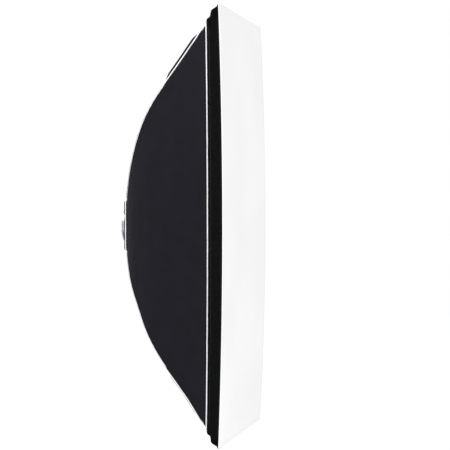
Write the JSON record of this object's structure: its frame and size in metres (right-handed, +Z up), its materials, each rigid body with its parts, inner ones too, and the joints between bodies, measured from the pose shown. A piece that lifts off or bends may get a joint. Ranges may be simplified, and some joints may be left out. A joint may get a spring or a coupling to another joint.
{
  "type": "strip softbox",
  "caption": "Folding strip softbox: a tapered black fabric box with a white front diffuser, on a turning ring that fits a studio lamp.",
  "frame": {"origin": "centre of the bayonet insert at its rear mounting face, where it meets the lamp", "axes": "+Z up along the long side, +Y towards the lamp, the white front faces -Y"},
  "size_m": [0.5042, 0.3752, 1.3062],
  "materials": {
    "cast_alloy": "die-cast aluminium alloy, machined faces",
    "black_casting": "die-cast alloy, black powder coat",
    "bearing_plastic": "natural acetal",
    "button_plastic": "moulded nylon, red",
    "tip_rubber": "moulded rubber",
    "socket_alloy": "turned and milled alloy, anodised grey",
    "spring_steel": "drawn spring steel",
    "screw_steel": "zinc-plated steel",
    "panel_cloth": "woven polyester, black outside, silver coated inside",
    "band_cloth": "woven nylon tape",
    "hem_cloth": "hook-and-loop tape on woven polyester",
    "piping": "silver-coated polyester piping",
    "diffusion_cloth": "white ripstop nylon",
    "webbing": "woven elastic",
    "stud_metal": "black press stud"
  },
  "bodies": {
    "mount": {"bayonet_insert": "cast_alloy", "retaining_ring": "cast_alloy", "retaining_screws": "screw_steel"},
    "turning_ring": {"baffle_straps": "webbing", "baffle_studs": "stud_metal", "baffle_tabs": "webbing", "bearing_liner": "bearing_plastic", "bottom_panel": "panel_cloth", "carrier_ring": "black_casting", "corner_pockets": "band_cloth", "detent_balls": "screw_steel", "detent_screws": "screw_steel", "detent_springs": "screw_steel", "diffuser_hem": "hem_cloth", "front_diffuser": "diffusion_cloth", "front_piping": "piping", "hinge_pins": "screw_steel", "inner_baffle": "diffusion_cloth", "latch_leaf_springs": "spring_steel", "latch_rivets": "screw_steel", "left_panel": "panel_cloth", "rear_collar": "band_cloth", "rear_piping": "piping", "right_panel": "panel_cloth", "rim_band": "band_cloth", "seam_piping_lower_left": "piping", "seam_piping_lower_right": "piping", "seam_piping_upper_left": "piping", "seam_piping_upper_right": "piping", "thrust_washer": "bearing_plastic", "top_panel": "panel_cloth"},
    "rod_upper_left_arm": {"rod_socket_upper_left": "socket_alloy", "rod_upper_left": "spring_steel", "rod_tip_upper_left": "tip_rubber", "socket_grub_screw_upper_left": "screw_steel"},
    "rod_upper_right_arm": {"rod_socket_upper_right": "socket_alloy", "rod_upper_right": "spring_steel", "rod_tip_upper_right": "tip_rubber", "socket_grub_screw_upper_right": "screw_steel"},
    "rod_lower_left_arm": {"rod_socket_lower_left": "socket_alloy", "rod_lower_left": "spring_steel", "rod_tip_lower_left": "tip_rubber", "socket_grub_screw_lower_left": "screw_steel"},
    "rod_lower_right_arm": {"rod_socket_lower_right": "socket_alloy", "rod_lower_right": "spring_steel", "rod_tip_lower_right": "tip_rubber", "socket_grub_screw_lower_right": "screw_steel"},
    "button_upper_left": {"release_button_upper_left": "button_plastic"},
    "button_upper_right": {"release_button_upper_right": "button_plastic"},
    "button_lower_left": {"release_button_lower_left": "button_plastic"},
    "button_lower_right": {"release_button_lower_right": "button_plastic"}
  },
  "joints": [
    {"name": "ring_turn", "type": "hinge", "parent": "mount", "child": "turning_ring", "pos_m": [0, 0, 0], "axis": [0, 1, 0], "continuous": true, "deforming": ["detent_springs", "detent_balls"]},
    {"name": "fold_upper_left", "type": "hinge", "parent": "turning_ring", "child": "rod_upper_left_arm", "pos_m": [-0.07123, -0.01596, 0.064], "axis": [1, 0, 0], "range_deg": [0, 55], "deforming": ["left_panel", "right_panel", "top_panel", "bottom_panel", "front_piping", "rim_band", "diffuser_hem", "front_diffuser", "corner_pockets", "inner_baffle", "baffle_straps", "baffle_tabs", "baffle_studs", "latch_leaf_springs", "seam_piping_upper_left", "seam_piping_upper_right", "seam_piping_lower_left", "seam_piping_lower_right"]},
    {"name": "fold_upper_right", "type": "hinge", "parent": "turning_ring", "child": "rod_upper_right_arm", "pos_m": [0.07123, -0.01596, 0.064], "axis": [1, 0, 0], "range_deg": [0, 55]},
    {"name": "fold_lower_left", "type": "hinge", "parent": "turning_ring", "child": "rod_lower_left_arm", "pos_m": [-0.07123, -0.01596, -0.064], "axis": [-1, 0, 0], "range_deg": [0, 55]},
    {"name": "fold_lower_right", "type": "hinge", "parent": "turning_ring", "child": "rod_lower_right_arm", "pos_m": [0.07123, -0.01596, -0.064], "axis": [-1, 0, 0], "range_deg": [0, 55]},
    {"name": "press_upper_left", "type": "slide", "parent": "turning_ring", "child": "button_upper_left", "axis": [0, -1, 0], "range_m": [0, 0.0025], "stiffness_N_per_m": 600, "springref_m": -0.0008},
    {"name": "press_upper_right", "type": "slide", "parent": "turning_ring", "child": "button_upper_right", "axis": [0, -1, 0], "range_m": [0, 0.0025], "stiffness_N_per_m": 600, "springref_m": -0.0008},
    {"name": "press_lower_left", "type": "slide", "parent": "turning_ring", "child": "button_lower_left", "axis": [0, -1, 0], "range_m": [0, 0.0025], "stiffness_N_per_m": 600, "springref_m": -0.0008},
    {"name": "press_lower_right", "type": "slide", "parent": "turning_ring", "child": "button_lower_right", "axis": [0, -1, 0], "range_m": [0, 0.0025], "stiffness_N_per_m": 600, "springref_m": -0.0008}
  ],
  "couplings": [
    {"joint": "fold_upper_right", "follows": "fold_upper_left", "ratio": 1},
    {"joint": "fold_lower_left", "follows": "fold_upper_left", "ratio": 1},
    {"joint": "fold_lower_right", "follows": "fold_upper_left", "ratio": 1}
  ]
}
